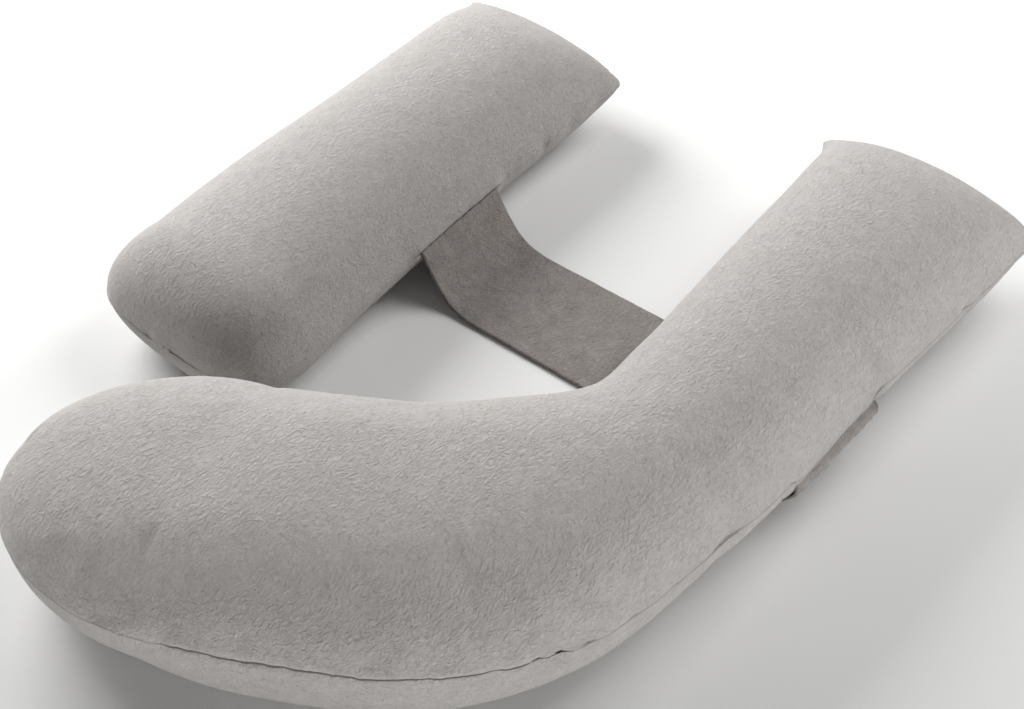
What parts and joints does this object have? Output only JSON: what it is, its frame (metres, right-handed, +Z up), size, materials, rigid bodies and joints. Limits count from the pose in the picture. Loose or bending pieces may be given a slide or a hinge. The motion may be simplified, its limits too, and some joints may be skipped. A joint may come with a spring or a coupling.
{
  "type": "body pillow",
  "caption": "Body pillow: a long plush pillow with a hooked end, a straight back bolster beside it, and a wide floor-level band that joins them.",
  "frame": {"origin": "centre of the bounding box in X and Y, on the surface that the pillows lie on", "axes": "+Y along the long pillow and the bolster, away from the hooked end; +X from the bolster towards the long pillow's leg; +Z up"},
  "size_m": [0.974, 1.2366, 0.1955],
  "materials": {
    "pillow_plush": "warm grey short-pile plush",
    "bolster_plush": "warm grey short-pile plush",
    "band_plush": "doubled grey short-pile plush"
  },
  "bodies": {
    "root": {"long_pillow": "pillow_plush", "back_bolster": "bolster_plush", "joining_band": "band_plush"}
  },
  "joints": []
}
